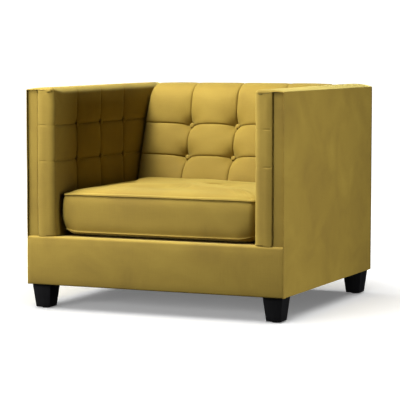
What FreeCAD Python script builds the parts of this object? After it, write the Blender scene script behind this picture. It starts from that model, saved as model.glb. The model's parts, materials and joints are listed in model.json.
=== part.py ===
"""Upholstered tub-shaped armchair with arms as high as the back, built as its separate pieces.

Millimetres. +Z is up, the sitter faces -Y, +X is to the right of a person who looks at the chair
from the front. The origin is the centre of the chair's footprint, on the floor.
"""

import FreeCAD, Part
import math
import os

V = FreeCAD.Vector
UP = V(0, 0, 1)

# ---- driving sizes -------------------------------------------------------------------------
overall_width = 960.0
overall_depth = 888.0
welt_height = 760.0        # top edge of the flat outer panels, where the padded tops start
crown_rise = 12.0          # how far the padded tops stand above that edge
body_bottom = 86.0         # underside of the upholstered body
rail_top = 255.0           # top of the padded front rail and of the seat deck
arm_thickness = 108.0      # outer face to inner face
back_thickness = 247.0     # rear face to the foot of the padded inside back

# ---- layers --------------------------------------------------------------------------------
cover = 2.0                # velvet with its lining
dust_cloth = 1.0
dust_cloth_gap = 4.0       # round the legs
padded_cover = 8.0         # velvet over wadding, on the flat outer panels
board = 4.0                # hardboard
board_gap = 2.0            # under the boards inside the arms
post_thickness = 28.0      # arm posts and arm top rails, across the arm
post_depth = 60.0          # arm posts, front to back
rail_thickness = 25.0      # base rails and back posts
top_rail_height = 45.0
top_rail_depth = 30.0      # back top rail, front to back
top_foam = 15.0            # height of the edge of the foam that lies on the top rails
frame_lift = 5.0           # timber above the body's lower edge
rail_foam_front = 10.0     # padding in front of the front rail
rail_round = 20.0          # rounding of the padded rail's top edge
rail_overhang = 3.0        # its padding past the rear face of the front rail
deck_foam = 20.0
spring_space = 8.0         # height of the springs and their clips on the base rails

# ---- arms ----------------------------------------------------------------------------------
arm_round = 50.0           # rounding of the arm pad's inner top edge
pad_setback = 3.0          # arm pad's front face behind the rail's front face
facing_setback = 8.0       # plain strip beside the pad, recessed behind the pad's face
facing_width = 40.0

# ---- back ----------------------------------------------------------------------------------
back_rake = math.radians(19.0)
rake_start = 162.0         # height above the deck at which the inside back starts to lean
back_round = 75.0          # rounding of its top front edge
back_foam_low = 87.0       # foam thickness at the foot of the back
back_post_width = 45.0
webbing = 2.0
webbing_width = 60.0

# ---- tufting -------------------------------------------------------------------------------
columns = 3
arm_rows = (122.0, 246.0)  # below the welt
back_rows = (135.0, 252.0)
lower_straps = (345.0, 430.0)  # centres of the webbing straps that hold no buttons, below the welt
arm_dimple_depth = 14.5
back_dimple_depth = 34.0
dimple_mouth = 30.0
button_radius = 9.5
button_height = 6.5
button_rim = 1.6
button_seat_gap = 1.0      # between a button's rim and the dimple's floor edge
twine_radius = 1.0
toggle_radius = 9.0
toggle_thickness = 3.0

# ---- seat springs --------------------------------------------------------------------------
spring_count = 5
spring_wire = 1.9          # radius
spring_bend = 15.0         # radius of each half loop
spring_straight = 22.0
clip_steel = 1.2
clip_side_gap = 2.0        # clip shorter than the spring's straight, at each end
spring_ledge = 3.0         # rear spring rail past the back posts

# ---- loose seat cushion --------------------------------------------------------------------
cushion_setback = 32.0     # cushion's front face behind the rail's front face
cushion_side_gap = 1.5
cushion_rear_gap = 12.0
cushion_rest_gap = 0.5
cushion_corner = 30.0      # plan radius of its corners
cushion_least_corner = 8.0
lower_seam = 20.0          # heights above the deck
upper_seam = 146.0
cushion_crown = 170.0
top_inset = 70.0           # how far in from the seam the crown levels off
bottom_inset = 24.0
zip_length = 520.0
zip_height = 84.0          # above the deck
zip_tape_width = 28.0
zip_tape_thickness = 0.8
zip_end = 4.0              # tape past the teeth, at each end
zip_stop = 6.0             # slider from the end of the tape when closed
zip_teeth_width = 5.0
zip_teeth_thickness = 1.6
slider_length = 12.0
slider_width = 9.0
slider_depth = 3.4
pull_length = 20.0
pull_width = 5.0
pull_thickness = 1.2
pull_eye = 1.2
pull_eye_edge = 4.5        # eye's centre from the pull's free end

# ---- legs ----------------------------------------------------------------------------------
leg_top = 72.0
leg_foot = 53.0
leg_side_inset = 12.0
leg_front_inset = 17.0
leg_rear_inset = 9.0
leg_plate = 60.0
plate_steel = 2.5
glide_height = 4.0
glide_radius = 15.0
glide_taper = 1.0
bolt_radius = 4.0
bolt_in_leg = 35.0
bolt_in_block = 26.0
barrel_wall = 1.2
barrel_height = 12.0
block_height = 45.0
block_leg = 95.0           # length of a corner block along each rail
block_end = 28.0           # width of its two ends
screw_radius = 2.0
screw_head = 3.8
screw_sink = 2.0           # depth of the countersinks
screw_length = 24.0        # depth of the holes in the timber
screw_end_gap = 1.0
screw_offset = 22.0        # from the plate's centre, both ways

# ---- clearances ----------------------------------------------------------------------------
slip = 0.05                # round the dowels, bolts and screws
loose = 0.4                # round twines, teeth and spring wires
side_fit = 0.3             # between the back pad's ends and the arm pads

dowel_radius = 5.0
dowel_length = 50.0

# ---- places worked out from the sizes ------------------------------------------------------
x_out = overall_width / 2
x_board = x_out - padded_cover
x_post = x_board - board
x_post_in = x_post - post_thickness
x_pad_back = x_post_in - board
x_in = x_out - arm_thickness
x_rail_in = x_post - rail_thickness
x_facing = x_board - facing_width + padded_cover - cover

y_front = -overall_depth / 2
y_rear = overall_depth / 2
y_rail = y_front + cover + rail_foam_front
y_rail_in = y_rail + rail_thickness
y_board = y_rear - padded_cover
y_frame_rear = y_board - board
y_rear_rail_in = y_frame_rear - rail_thickness
y_top_rail = y_frame_rear - top_rail_depth
y_face = y_rear - back_thickness
y_pad_front = y_front + pad_setback
y_arm_end = y_top_rail - cover

z_frame = body_bottom + frame_lift
z_base = rail_top - cover - deck_foam - spring_space
z_top = welt_height - top_foam
z_post = z_top - top_rail_height
z_crown = welt_height + crown_rise
z_rake = rail_top + rake_start

y_support_low = y_face + cover + back_foam_low
y_support_high = y_top_rail - cover
support_slope = (y_support_high - y_support_low) / (z_top - rail_top)
spring_rail_depth = rail_thickness + webbing + spring_ledge
arm_pitch = (y_face - y_front) / (columns + 0.5)
back_pitch = 2 * x_in / (columns + 1)


# ---- helpers -------------------------------------------------------------------------------
def box(x0, x1, y0, y1, z0, z1):
    return Part.makeBox(x1 - x0, y1 - y0, z1 - z0, V(x0, y0, z0))


def mirrored(shape):
    """The same piece on the other arm."""
    return shape.mirror(V(0, 0, 0), V(1, 0, 0))


def closed_wire(points_or_edges):
    return Part.Wire(Part.__sortEdges__(points_or_edges))


def polygon(points):
    return Part.makePolygon(points + [points[0]])


def prism(wire, direction):
    return Part.Face(wire).extrude(direction)


def support_y(z):
    """The sloping plane that the back foam leans on."""
    return y_support_low + support_slope * (z - rail_top)


def along(shape, base, direction):
    """A shape made along +Z, moved to base and turned to point along direction."""
    turned = shape.copy()
    turned.Placement = FreeCAD.Placement(base, FreeCAD.Rotation(UP, direction))
    return turned


def fuse_all(shapes):
    return shapes[0].multiFuse(shapes[1:]).removeSplitter() if len(shapes) > 1 else shapes[0]


def cut_all(shape, tools):
    return shape.cut(tools) if tools else shape


# ---- tufting places ------------------------------------------------------------------------
def back_face_y(z):
    return y_face + max(0.0, z - z_rake) * math.tan(back_rake)


def arm_button_places():
    """Points on the right arm's inner face, each with the direction into the pad."""
    return [(V(x_in, y_front + arm_pitch * c, welt_height - row), V(1, 0, 0))
            for row in arm_rows for c in range(1, columns + 1)]


def back_button_places():
    places = []
    for row in back_rows:
        z = welt_height - row
        inward = V(0, math.cos(back_rake), -math.sin(back_rake)) if z > z_rake else V(0, 1, 0)
        for c in range(columns):
            x = back_pitch * (c - (columns - 1) / 2)
            places.append((V(x, back_face_y(z), z), inward))
    return places


def dimples(places, depth, grow):
    """Cones that the buttons pull into a pad, larger all round by grow."""
    floor = button_radius + grow + button_seat_gap
    return [Part.makeCone(dimple_mouth + grow, floor, depth + grow, at, inward)
            for at, inward in places]


def twine_holes(places, radius, length):
    return [Part.makeCylinder(radius, length, at, inward) for at, inward in places]


def button_shape():
    """A covered button: a flat back, a short rim and a domed face, with its face along -Z."""
    dome = button_height - button_rim
    radius = (button_radius ** 2 + dome ** 2) / (2 * dome)
    half = math.asin(button_radius / radius) / 2
    mid = V(radius * math.sin(half), 0, radius - button_height - radius * math.cos(half))
    edges = [
        Part.LineSegment(V(0, 0, 0), V(button_radius, 0, 0)).toShape(),
        Part.LineSegment(V(button_radius, 0, 0), V(button_radius, 0, -button_rim)).toShape(),
        Part.Arc(V(button_radius, 0, -button_rim), mid, V(0, 0, -button_height)).toShape(),
        Part.LineSegment(V(0, 0, -button_height), V(0, 0, 0)).toShape(),
    ]
    return Part.Face(closed_wire(edges)).revolve(V(0, 0, 0), UP, 360)


def buttons(places, depth):
    shape = button_shape()
    return [along(shape, at + inward * (depth - slip), inward) for at, inward in places]


def ties(places, depth, reach):
    """Twine from each button's back to a toggle, which sits reach past the pad's face."""
    made = []
    for at, inward in places:
        length = reach(at, inward)
        start = at + inward * depth
        twine = Part.makeCylinder(twine_radius, length - depth, start, inward)
        toggle = Part.makeCylinder(toggle_radius, toggle_thickness, at + inward * length, inward)
        made.append(twine.fuse(toggle).removeSplitter())
    return made


# ---- timber frame --------------------------------------------------------------------------
def dowel_places():
    """Dowels stand across each arm post's two ends."""
    x = x_post - rail_thickness / 2
    rows = [(y_rail + post_depth * 0.7, z) for z in (z_base, z_post)]
    rows += [(y_frame_rear - post_depth * 0.7, z) for z in (z_base, z_post)]
    return [V(side * x, y, z - dowel_length / 2) for y, z in rows for side in (-1, 1)]


def dowels(radius, grow):
    return [Part.makeCylinder(radius, dowel_length + 2 * grow, at - UP * grow, UP)
            for at in dowel_places()]


def leg_centres():
    x = x_out - leg_side_inset - leg_top / 2
    front = y_front + leg_front_inset + leg_top / 2
    rear = y_rear - leg_rear_inset - leg_top / 2
    return {"leg_front_left": V(-x, front, 0), "leg_front_right": V(x, front, 0),
            "leg_rear_left": V(-x, rear, 0), "leg_rear_right": V(x, rear, 0)}


def screw_places():
    return [c + V(dx * screw_offset, dy * screw_offset, z_frame)
            for c in leg_centres().values() for dx in (-1, 1) for dy in (-1, 1)]


def leg_hole_tools():
    """What the leg fittings take out of the timber above them."""
    barrel = bolt_radius + slip + barrel_wall + slip
    tools = [Part.makeCylinder(screw_radius + slip, screw_length, at, UP)
             for at in screw_places()]
    for c in leg_centres().values():
        tools.append(Part.makeCylinder(barrel, barrel_height + slip, c + UP * z_frame, UP))
        tools.append(Part.makeCylinder(bolt_radius + slip, bolt_in_block + slip,
                                       c + UP * z_frame, UP))
    return tools


def corner_blocks():
    blocks = []
    for name, centre in leg_centres().items():
        sx = math.copysign(1, centre.x)
        sy = math.copysign(1, centre.y)
        y_edge = -y_rail_in if sy < 0 else y_rear_rail_in
        corner = V(sx * x_rail_in, sy * y_edge, z_frame)
        points = [corner, corner - V(sx * block_leg, 0, 0),
                  corner - V(sx * block_leg, sy * block_end, 0),
                  corner - V(sx * block_end, sy * block_leg, 0),
                  corner - V(0, sy * block_leg, 0)]
        blocks.append(prism(polygon(points), UP * block_height))
    return blocks


def back_post(x0):
    """A post that leans with the back, from the rear spring rail to the back top rail."""
    near = webbing
    far = webbing + rail_thickness
    points = [V(x0, support_y(z_base) + near, z_base), V(x0, support_y(z_base) + far, z_base),
              V(x0, support_y(z_post) + far, z_post), V(x0, support_y(z_post) + near, z_post)]
    return prism(polygon(points), V(back_post_width, 0, 0))


def frame_parts():
    holes = leg_hole_tools()
    pegs = dowels(dowel_radius + slip, slip)
    side_rail = box(x_rail_in, x_post, y_rail_in, y_rear_rail_in, z_frame, z_base)
    side_rail = cut_all(side_rail, holes + pegs)
    front_post = box(x_post_in, x_post, y_rail, y_rail + post_depth, z_base, z_post)
    rear_post = box(x_post_in, x_post, y_frame_rear - post_depth, y_frame_rear, z_base, z_post)
    top_rail = box(x_post_in, x_post, y_rail, y_frame_rear, z_post, z_top)
    spring_rail_y = support_y(z_base) + webbing
    made = {
        "base_front_rail": cut_all(box(-x_post, x_post, y_rail, y_rail_in, z_frame, z_base), holes),
        "base_rear_rail": cut_all(
            box(-x_post, x_post, y_rear_rail_in, y_frame_rear, z_frame, z_base), holes),
        "base_side_rail_right": side_rail,
        "base_side_rail_left": mirrored(side_rail),
        "spring_rear_rail": box(-x_rail_in, x_rail_in, spring_rail_y,
                                spring_rail_y + spring_rail_depth,
                                z_base - 2 * rail_thickness, z_base),
        "corner_blocks": Part.makeCompound([cut_all(b, holes) for b in corner_blocks()]),
        "back_top_rail": box(-x_post_in, x_post_in, y_top_rail, y_frame_rear, z_post, z_top),
        "back_post_right": back_post(x_in - cover - back_post_width),
        "back_post_left": back_post(cover - x_in),
        "frame_dowels": Part.makeCompound(dowels(dowel_radius, 0)),
    }
    for name, shape in (("arm_front_post", front_post), ("arm_rear_post", rear_post),
                        ("arm_top_rail", top_rail)):
        drilled = cut_all(shape, pegs)
        made[name + "_right"] = drilled
        made[name + "_left"] = mirrored(drilled)
    return made


# ---- springs, deck and webbing -------------------------------------------------------------
def spring_line():
    """One serpentine spring's centre line, from the front rail to the rear spring rail."""
    z = z_base + clip_steel + slip + spring_wire
    y0 = y_rail_in - 0.5 * rail_thickness
    y1 = support_y(z_base) + webbing + 0.5 * spring_rail_depth
    loops = 2 * int((y1 - y0) / (4 * spring_bend)) + 1
    step = (y1 - y0) / loops
    radius = step / 2
    half = spring_straight / 2
    edges, side = [], 1
    for i in range(loops + 1):
        y = y0 + i * step
        edges.append(Part.LineSegment(V(-side * half, y, z), V(side * half, y, z)).toShape())
        if i < loops:
            edges.append(Part.Arc(V(side * half, y, z),
                                  V(side * (half + radius), y + radius, z),
                                  V(side * half, y + step, z)).toShape())
        side = -side
    return Part.Wire(edges), y0, y1, z


def seat_spring():
    line, y0, y1, z = spring_line()
    start = line.Edges[0].firstVertex().Point
    ring = Part.Wire(Part.Circle(V(start.x, y0, z), V(1, 0, 0), spring_wire).toShape())
    return line.makePipeShell([ring], True, False)


def spring_clip(y, z):
    """A folded steel clip that holds one end of a spring on its rail."""
    inner = spring_wire + slip
    outer = inner + clip_steel
    half = spring_straight / 2 - clip_side_gap
    body = box(-half, half, y - outer, y + outer, z - outer, z + outer)
    return body.cut(box(-half - 1, half + 1, y - inner, y + inner, z - inner, z + inner))


def spring_parts():
    spring = seat_spring()
    _, y0, y1, z = spring_line()
    pair = [spring_clip(y0, z), spring_clip(y1, z)]
    pitch = 2 * (x_in - cover - back_post_width) / spring_count
    offsets = [pitch * (i - (spring_count - 1) / 2) for i in range(spring_count)]
    return {
        "seat_springs": Part.makeCompound([spring.translated(V(x, 0, 0)) for x in offsets]),
        "spring_clips": Part.makeCompound([c.translated(V(x, 0, 0)) for x in offsets for c in pair]),
    }


def deck_parts():
    """The flat foam and cloth over the springs, which the loose cushion lies on."""
    front = y_rail_in + rail_overhang
    z0 = rail_top - cover - deck_foam
    foam = box(-x_pad_back, x_pad_back, front, y_support_low - cover, z0, z0 + deck_foam)
    cloth = box(-x_pad_back, x_pad_back, front, y_support_low - cover, z0 + deck_foam, rail_top)
    slope = prism(polygon([V(-x_out, y_support_low, rail_top), V(-x_out, y_rear, rail_top),
                           V(-x_out, y_rear, z_base), V(-x_out, support_y(z_base), z_base)]),
                  V(overall_width, 0, 0))
    return {"deck_foam": foam.cut(slope), "deck_cloth": cloth.cut(slope)}


def back_webbing():
    """Straps across the back posts' front faces; two of them hold the back's buttons."""
    rows = [row for row in back_rows] + [row for row in lower_straps]
    half = webbing_width / 2
    straps = []
    for row in rows:
        z0, z1 = welt_height - row - half, welt_height - row + half
        points = [V(0, support_y(z0), z0), V(0, support_y(z0) + webbing, z0),
                  V(0, support_y(z1) + webbing, z1), V(0, support_y(z1), z1)]
        width = 2 * (x_in - cover)
        strap = prism(polygon(points), V(width, 0, 0)).translated(V(-width / 2, 0, 0))
        holes = twine_holes(back_button_places(), twine_radius + loose, 2 * back_thickness)
        straps.append(strap.cut(holes))
    return Part.makeCompound(straps)


# ---- arm pads ------------------------------------------------------------------------------
def arm_section(inset):
    """Right arm pad's outline across the arm, inset all round its padded side and top."""
    x0 = x_in + inset
    z_flat = z_crown - 2.0 - inset
    radius = arm_round - inset
    centre = V(x0 + radius, 0, z_flat - radius)
    corner = V(centre.x - radius * math.cos(math.pi / 4), 0, centre.z + radius * math.sin(math.pi / 4))
    outer = x_out - cover
    edges = [
        Part.LineSegment(V(x0, 0, rail_top), V(x0, 0, centre.z)).toShape(),
        Part.Arc(V(x0, 0, centre.z), corner, V(centre.x, 0, z_flat)).toShape(),
        Part.LineSegment(V(centre.x, 0, z_flat), V(outer, 0, welt_height - inset)).toShape(),
        Part.LineSegment(V(outer, 0, welt_height - inset), V(outer, 0, z_top)).toShape(),
        Part.LineSegment(V(outer, 0, z_top), V(x_pad_back, 0, z_top)).toShape(),
        Part.LineSegment(V(x_pad_back, 0, z_top), V(x_pad_back, 0, rail_top)).toShape(),
        Part.LineSegment(V(x_pad_back, 0, rail_top), V(x0, 0, rail_top)).toShape(),
    ]
    return Part.Wire(edges)


def arm_block(inset, front):
    """The padded arm as one block: the upright pad stops at the back frame, the top runs on."""
    section = arm_section(inset).copy()
    section.translate(V(0, front, 0))
    whole = prism(section, V(0, y_rear - cover - front, 0))
    behind = box(0, x_pad_back, y_arm_end, y_rear, rail_top - 1, z_top)
    return whole.cut(behind)


def arm_parts():
    places = arm_button_places()
    reach = x_post_in - x_in
    foam = arm_block(cover, y_pad_front + cover)
    skin = arm_block(0, y_pad_front).cut(dimples(places, arm_dimple_depth, 0)).cut(foam)
    lining = foam.common(fuse_all(dimples(places, arm_dimple_depth, cover))) if places else None
    skin = skin.fuse(lining.cut(dimples(places, arm_dimple_depth, 0))).removeSplitter() if lining else skin
    holes = twine_holes(places, twine_radius + loose, reach + 2 * toggle_thickness)
    foam = foam.cut(dimples(places, arm_dimple_depth, cover)).cut(holes)
    skin = skin.cut(holes)
    above = box(0, x_out, y_front, y_rear, z_top, z_crown + 1)
    face_board = box(x_pad_back, x_post_in, y_rail, y_arm_end, z_base + spring_space + board_gap, z_top)
    facing = box(x_facing, x_out - cover, y_front + facing_setback, y_rail, rail_top, z_top)
    right = {
        "arm_foam": foam.cut(above),
        "arm_top_foam": foam.common(above),
        "arm_cover": skin,
        "arm_inner_board": face_board.cut(holes),
        "arm_facing": facing,
        "arm_buttons": Part.makeCompound(buttons(places, arm_dimple_depth)),
    }
    made = {}
    for name, shape in right.items():
        made[name + "_right"] = shape
        made[name + "_left"] = mirrored(shape)
    return made


# ---- back pad ------------------------------------------------------------------------------
def back_section(inset):
    """The inside back's outline from the side, inset behind its padded face and top."""
    lean = math.tan(back_rake)
    y0 = y_face + inset
    z_flat = z_crown - inset
    turn = math.pi / 2 - back_rake
    radius = back_round - inset
    tangent = radius * math.tan(turn / 2)
    knee = z_rake - inset * math.tan(back_rake / 2)
    y_peak = y0 + (z_flat - knee) * lean
    start = V(0, y_peak - tangent * math.sin(back_rake), z_flat - tangent * math.cos(back_rake))
    end = V(0, y_peak + tangent, z_flat)
    centre = V(0, end.y, end.z - radius)
    middle = centre + V(0, -math.cos(back_rake + turn / 2), math.sin(back_rake + turn / 2)) * radius
    edges = [
        Part.LineSegment(V(0, y0, rail_top), V(0, y0, knee)).toShape(),
        Part.LineSegment(V(0, y0, knee), start).toShape(),
        Part.Arc(start, middle, end).toShape(),
        Part.LineSegment(end, V(0, y_rear - cover, welt_height - inset)).toShape(),
        Part.LineSegment(V(0, y_rear - cover, welt_height - inset), V(0, y_rear - cover, z_top)).toShape(),
        Part.LineSegment(V(0, y_rear - cover, z_top), V(0, y_support_high, z_top)).toShape(),
        Part.LineSegment(V(0, y_support_high, z_top), V(0, y_support_low, rail_top)).toShape(),
        Part.LineSegment(V(0, y_support_low, rail_top), V(0, y0, rail_top)).toShape(),
    ]
    return Part.Wire(edges)


def back_block(inset):
    half = x_in - side_fit
    section = back_section(inset).copy()
    section.translate(V(-half, 0, 0))
    return prism(section, V(2 * half, 0, 0))


def back_parts():
    places = back_button_places()
    foam = back_block(cover)
    skin = back_block(0).cut(dimples(places, back_dimple_depth, 0)).cut(foam)
    lining = foam.common(fuse_all(dimples(places, back_dimple_depth, cover)))
    skin = skin.fuse(lining.cut(dimples(places, back_dimple_depth, 0))).removeSplitter()
    holes = twine_holes(places, twine_radius + loose, back_thickness)
    foam = foam.cut(dimples(places, back_dimple_depth, cover)).cut(holes)
    above = box(-x_out, x_out, y_front, y_rear, z_top, z_crown + 1)
    return {
        "back_foam": foam.cut(above),
        "back_top_foam": foam.common(above),
        "back_inner_cover": skin.cut(holes),
        "back_buttons": Part.makeCompound(buttons(places, back_dimple_depth)),
    }


def back_reach(at, inward):
    """Distance along a back button's line to the rear face of the webbing."""
    gap = support_y(at.z) + webbing - at.y
    return gap / (inward.y - support_slope * inward.z) + 0.5


def tuft_ties():
    arm_ties = ties(arm_button_places(), arm_dimple_depth, lambda at, inward: x_post_in - x_in)
    other_arm = [mirrored(t) for t in arm_ties]
    return Part.makeCompound(arm_ties + other_arm + ties(back_button_places(), back_dimple_depth, back_reach))


# ---- front rail, outer panels and underside ------------------------------------------------
def rail_block(inset):
    """The padded front rail's outline from the side: a flat front, a rounded top edge."""
    y0 = y_front + inset
    z1 = rail_top - inset
    radius = rail_round - inset
    centre = V(0, y0 + radius, z1 - radius)
    middle = centre + V(0, -math.sin(math.pi / 4), math.cos(math.pi / 4)) * radius
    inner = y_rail_in + rail_overhang
    edges = [
        Part.LineSegment(V(0, y0, body_bottom), V(0, y0, centre.z)).toShape(),
        Part.Arc(V(0, y0, centre.z), middle, V(0, centre.y, z1)).toShape(),
        Part.LineSegment(V(0, centre.y, z1), V(0, inner, z1)).toShape(),
        Part.LineSegment(V(0, inner, z1), V(0, inner, z_base + spring_space)).toShape(),
        Part.LineSegment(V(0, inner, z_base + spring_space), V(0, y_rail, z_base + spring_space)).toShape(),
        Part.LineSegment(V(0, y_rail, z_base + spring_space), V(0, y_rail, body_bottom)).toShape(),
        Part.LineSegment(V(0, y_rail, body_bottom), V(0, y0, body_bottom)).toShape(),
    ]
    half = x_out - padded_cover
    section = Part.Wire(edges)
    section.translate(V(-half, 0, 0))
    return prism(section, V(2 * half, 0, 0))


def panel_parts():
    arm_room = box(x_pad_back, x_out, y_rail, y_rail + post_depth, z_base, rail_top + 1)
    arm_rooms = [arm_room, mirrored(arm_room)]
    rail_foam = rail_block(cover).cut(arm_rooms)
    rail_cover = rail_block(0).cut(rail_block(cover)).cut(arm_rooms)
    side_cover = box(x_board, x_out, y_front, y_board, body_bottom, welt_height)
    inner_edge = box(0, x_out - cover, y_front, y_rear, z_top, z_crown)
    facing_room = box(0, x_out - cover, y_front, y_rail, rail_top, z_top)
    side_cover = side_cover.cut([inner_edge, facing_room])
    back_cover = box(-x_out, x_out, y_board, y_rear, body_bottom, welt_height)
    top_room = box(-x_out, x_out, y_front, y_rear - cover, z_top, z_crown)
    side_board = box(x_post, x_board, y_rail, y_frame_rear, z_frame, z_top)
    dust = box(-x_post, x_post, y_rail, y_frame_rear, z_frame - dust_cloth, z_frame)
    corners = []
    for c in leg_centres().values():
        half = leg_top / 2 + dust_cloth_gap
        sx = math.copysign(1, c.x)
        sy = math.copysign(1, c.y)
        xs = sorted((c.x - sx * half, sx * x_out))
        ys = sorted((c.y - sy * half, sy * y_rear))
        corners.append(box(xs[0], xs[1], ys[0], ys[1], body_bottom, welt_height))
    return {
        "rail_foam": rail_foam,
        "front_rail_cover": rail_cover,
        "side_cover_right": side_cover,
        "side_cover_left": mirrored(side_cover),
        "back_cover": back_cover.cut(top_room),
        "side_board_right": side_board,
        "side_board_left": mirrored(side_board),
        "back_board": box(-x_board, x_board, y_frame_rear, y_board, z_frame, z_top),
        "dust_cover": dust.cut(corners),
    }


# ---- legs ----------------------------------------------------------------------------------
def square(half, z):
    return polygon([V(-half, -half, z), V(half, -half, z), V(half, half, z), V(-half, half, z)])


def leg_parts():
    z_seat = z_frame - plate_steel
    taper = Part.makeLoft([square(leg_foot / 2, glide_height), square(leg_top / 2, z_seat)], True, True)
    hole = Part.makeCylinder(bolt_radius + slip, bolt_in_leg + slip, V(0, 0, z_seat - bolt_in_leg - slip))
    leg = taper.cut(hole)
    bolt = Part.makeCylinder(bolt_radius, bolt_in_leg + plate_steel + bolt_in_block,
                             V(0, 0, z_seat - bolt_in_leg))
    half = leg_plate / 2
    barrel = bolt_radius + slip + barrel_wall
    plate = box(-half, half, -half, half, z_seat, z_frame)
    plate = plate.fuse(Part.makeCylinder(barrel, plate_steel + barrel_height, V(0, 0, z_seat)))
    through = 2 * barrel_height + plate_steel
    plate = plate.cut(Part.makeCylinder(bolt_radius + slip, through, V(0, 0, z_seat - 1)))
    screws, screw_holes = [], []
    for dx in (-screw_offset, screw_offset):
        for dy in (-screw_offset, screw_offset):
            head = Part.makeCone(screw_head, screw_radius, screw_sink, V(dx, dy, z_seat))
            reach = plate_steel + screw_length - screw_end_gap
            shank = Part.makeCylinder(screw_radius, reach, V(dx, dy, z_seat))
            screws.append(head.fuse(shank).removeSplitter())
            screw_holes.append(Part.makeCone(screw_head + slip, screw_radius + slip, screw_sink,
                                             V(dx, dy, z_seat)))
            screw_holes.append(Part.makeCylinder(screw_radius + slip, plate_steel, V(dx, dy, z_seat)))
    plate = plate.cut(screw_holes).removeSplitter()
    glide = Part.makeCone(glide_radius - glide_taper, glide_radius, glide_height)
    centres = leg_centres()
    made = {name: leg.translated(c) for name, c in centres.items()}
    made["leg_bolts"] = Part.makeCompound([bolt.translated(c) for c in centres.values()])
    made["leg_plates"] = Part.makeCompound([plate.translated(c) for c in centres.values()])
    made["leg_screws"] = Part.makeCompound([s.translated(c) for c in centres.values() for s in screws])
    made["leg_glides"] = Part.makeCompound([glide.translated(c) for c in centres.values()])
    return made


# ---- loose cushion -------------------------------------------------------------------------
def cushion_outline(inset, z):
    """A rectangle with rounded corners, seen from above."""
    x = x_in - cushion_side_gap - inset
    y0 = y_front + cushion_setback + inset
    y1 = y_face - cushion_rear_gap - inset
    r = max(cushion_corner - inset, cushion_least_corner)
    k = r * (1 - math.sqrt(0.5))
    line = lambda a, b: Part.LineSegment(V(*a, z), V(*b, z)).toShape()
    arc = lambda a, m, b: Part.Arc(V(*a, z), V(*m, z), V(*b, z)).toShape()
    return Part.Wire([
        line((-x + r, y0), (x - r, y0)), arc((x - r, y0), (x - k, y0 + k), (x, y0 + r)),
        line((x, y0 + r), (x, y1 - r)), arc((x, y1 - r), (x - k, y1 - k), (x - r, y1)),
        line((x - r, y1), (-x + r, y1)), arc((-x + r, y1), (-x + k, y1 - k), (-x, y1 - r)),
        line((-x, y1 - r), (-x, y0 + r)), arc((-x, y0 + r), (-x + k, y0 + k), (-x + r, y0)),
    ])


def cushion_block(skin):
    """The cushion's boxing between two crowned panels, smaller all round by skin."""
    z_low = rail_top + cushion_rest_gap + skin
    z_seam0 = rail_top + lower_seam
    z_seam1 = rail_top + upper_seam
    z_high = rail_top + cushion_crown - skin
    foot = cushion_outline(bottom_inset + skin, z_low)
    lower = cushion_outline(skin, z_seam0)
    upper = cushion_outline(skin, z_seam1)
    crown = cushion_outline(top_inset + skin, z_high)
    pairs = ([foot, lower], [lower, upper], [upper, crown])
    return fuse_all([Part.makeLoft(pair, True, True) for pair in pairs])


def cushion_parts():
    core = cushion_block(cover)
    y1 = y_face - cushion_rear_gap
    z = rail_top + zip_height
    half = zip_length / 2
    tape = box(-half, half, y1, y1 + zip_tape_thickness, z - zip_tape_width / 2, z + zip_tape_width / 2)
    y_tape = y1 + zip_tape_thickness
    teeth = box(-half + zip_end, half - zip_end, y_tape, y_tape + zip_teeth_thickness,
                z - zip_teeth_width / 2, z + zip_teeth_width / 2)
    y2 = y1 + zip_tape_thickness + loose / 2
    x1 = half - zip_stop
    slider = box(x1 - slider_length, x1, y2, y2 + slider_depth, z - slider_width / 2, z + slider_width / 2)
    channel = box(x1 - slider_length - 1, x1 + 1, y2 - 1,
                  y1 + zip_tape_thickness + zip_teeth_thickness + loose / 2,
                  z - zip_teeth_width / 2 - loose / 2, z + zip_teeth_width / 2 + loose / 2)
    y3 = y2 + slider_depth
    x_eye = x1 - slider_length / 2
    pull = box(x_eye - pull_length, x_eye, y3, y3 + pull_thickness, z - pull_width / 2, z + pull_width / 2)
    eye_at = V(x_eye - pull_length + pull_eye_edge, y3 - pull_thickness, z)
    eye = Part.makeCylinder(pull_eye, 3 * pull_thickness, eye_at, V(0, 1, 0))
    return {
        "cushion_foam": core,
        "cushion_cover": cushion_block(0).cut(core),
        "zip_tape": tape.fuse(teeth).removeSplitter(),
        "zip_slider": slider.cut(channel),
        "zip_pull": pull.cut(eye),
    }


# ---- write every piece ---------------------------------------------------------------------
def main():
    made = {}
    for group in (frame_parts(), spring_parts(), deck_parts(), arm_parts(), back_parts(),
                  panel_parts(), leg_parts(), cushion_parts()):
        made.update(group)
    made["back_webbing"] = back_webbing()
    made["tuft_ties"] = tuft_ties()
    os.makedirs("parts", exist_ok=True)
    for name, shape in sorted(made.items()):
        bad = [s for s in shape.Solids if not s.isValid() or s.Volume <= 0]
        print("%-24s solids %2d volume %9.1f cm3%s"
              % (name, len(shape.Solids), shape.Volume / 1000, "  BAD" if bad or not shape.Solids else ""))
        shape.exportStep(os.path.join("parts", name + ".step"))
    print(len(made), "nodes")


main()
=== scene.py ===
import json
import math
import bpy
import numpy as np
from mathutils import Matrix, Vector, noise

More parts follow.
